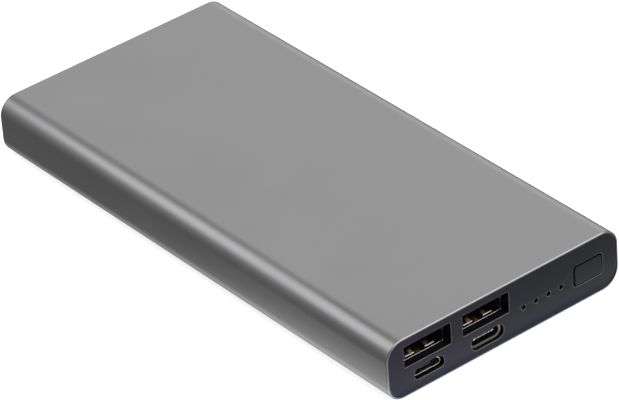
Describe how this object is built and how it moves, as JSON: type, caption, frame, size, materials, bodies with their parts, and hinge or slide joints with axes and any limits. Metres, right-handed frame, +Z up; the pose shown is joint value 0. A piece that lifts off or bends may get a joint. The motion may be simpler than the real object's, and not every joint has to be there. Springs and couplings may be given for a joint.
{
  "type": "power bank",
  "caption": "Slim flat aluminium power bank with USB sockets, charge indicator lights and a sliding push button in one end.",
  "frame": {"origin": "centre of the underside, half way along and across", "axes": "+Z up off the underside, +Y from the port end to the rear end, +X to the right as the ports are faced"},
  "size_m": [0.07, 0.1466, 0.0159],
  "materials": {
    "sleeve_aluminium": "fine bead-blasted and grey anodised, with a bright-cut chamfer round each end",
    "cover_plastic": "dark slate, smooth satin gloss",
    "button_plastic": "dark slate, smooth satin gloss",
    "frame_plastic": "black, fine moulded texture",
    "tape": "black double-sided tape",
    "clear_plastic": "clear moulded light guide",
    "led_package": "white package with a clear lens",
    "nickel_steel": "nickel-plated stamped steel",
    "socket_plastic": "black moulded liquid-crystal polymer",
    "micro_plastic": "very dark teal moulded polymer",
    "gold_plating": "gold-plated spring alloy",
    "circuit_board": "green solder mask over glass-epoxy laminate",
    "screw_steel": "black-zinc steel",
    "chip_plastic": "black epoxy",
    "ferrite": "dark grey pressed ferrite",
    "capacitor_ceramic": "tan ceramic",
    "resistor_ceramic": "dark glaze on white ceramic",
    "tantalum_moulding": "amber moulded case",
    "spring_steel": "thin spring steel",
    "switch_plastic": "black nylon",
    "plunger_plastic": "off-white acetal",
    "pouch_foil": "aluminium-laminate pouch, dull silver",
    "nickel_tab": "pure nickel strip",
    "bond_tape": "white double-sided tissue tape",
    "foam": "dark grey closed-cell foam",
    "amber_film": "amber polyimide film",
    "insulating_film": "black insulating film",
    "thermistor_bead": "black epoxy bead",
    "tinned_wire": "tinned copper"
  },
  "bodies": {
    "housing": {"sleeve": "sleeve_aluminium", "front_cover": "cover_plastic", "front_tape": "tape", "front_bulkhead": "frame_plastic", "rear_cover": "cover_plastic", "rear_tape": "tape", "rear_bulkhead": "frame_plastic", "end_screws": "screw_steel", "light_guide": "clear_plastic", "status_leds": "led_package", "switch_dome": "spring_steel", "switch_body": "switch_plastic", "switch_bracket": "nickel_steel", "usb_a_left_shell": "nickel_steel", "usb_a_left_insulator": "socket_plastic", "usb_a_left_contacts": "gold_plating", "usb_a_right_shell": "nickel_steel", "usb_a_right_insulator": "socket_plastic", "usb_a_right_contacts": "gold_plating", "micro_usb_shell": "nickel_steel", "micro_usb_insulator": "micro_plastic", "micro_usb_contacts": "gold_plating", "usb_c_shell": "nickel_steel", "usb_c_insulator": "socket_plastic", "usb_c_mid_plate": "nickel_steel", "usb_c_contacts": "gold_plating", "main_board": "circuit_board", "board_screws": "screw_steel", "board_insulator": "insulating_film", "power_inductors": "ferrite", "power_controller": "chip_plastic", "charger_chips": "chip_plastic", "mosfets": "chip_plastic", "bulk_capacitors": "tantalum_moulding", "ceramic_capacitors": "capacitor_ceramic", "chip_resistors": "resistor_ceramic", "cell_lower": "pouch_foil", "cell_upper": "pouch_foil", "cell_tabs": "nickel_tab", "cell_bond_tape": "bond_tape", "foam_pad_lower": "foam", "foam_pad_upper": "foam", "foam_pad_rear": "foam", "terrace_tape": "amber_film", "thermistor": "thermistor_bead", "thermistor_leads": "tinned_wire"},
    "power_button": {"power_button": "button_plastic"},
    "switch_plunger": {"switch_plunger": "plunger_plastic"}
  },
  "joints": [
    {"name": "button_press", "type": "slide", "parent": "housing", "child": "power_button", "axis": [0, 1, 0], "range_m": [0, 0.00035]},
    {"name": "switch_plunger_press", "type": "slide", "parent": "housing", "child": "switch_plunger", "axis": [0, 1, 0], "range_m": [0, 0.00035], "deforming": ["switch_dome"]}
  ],
  "couplings": [
    {"joint": "switch_plunger_press", "follows": "button_press", "ratio": 1}
  ]
}
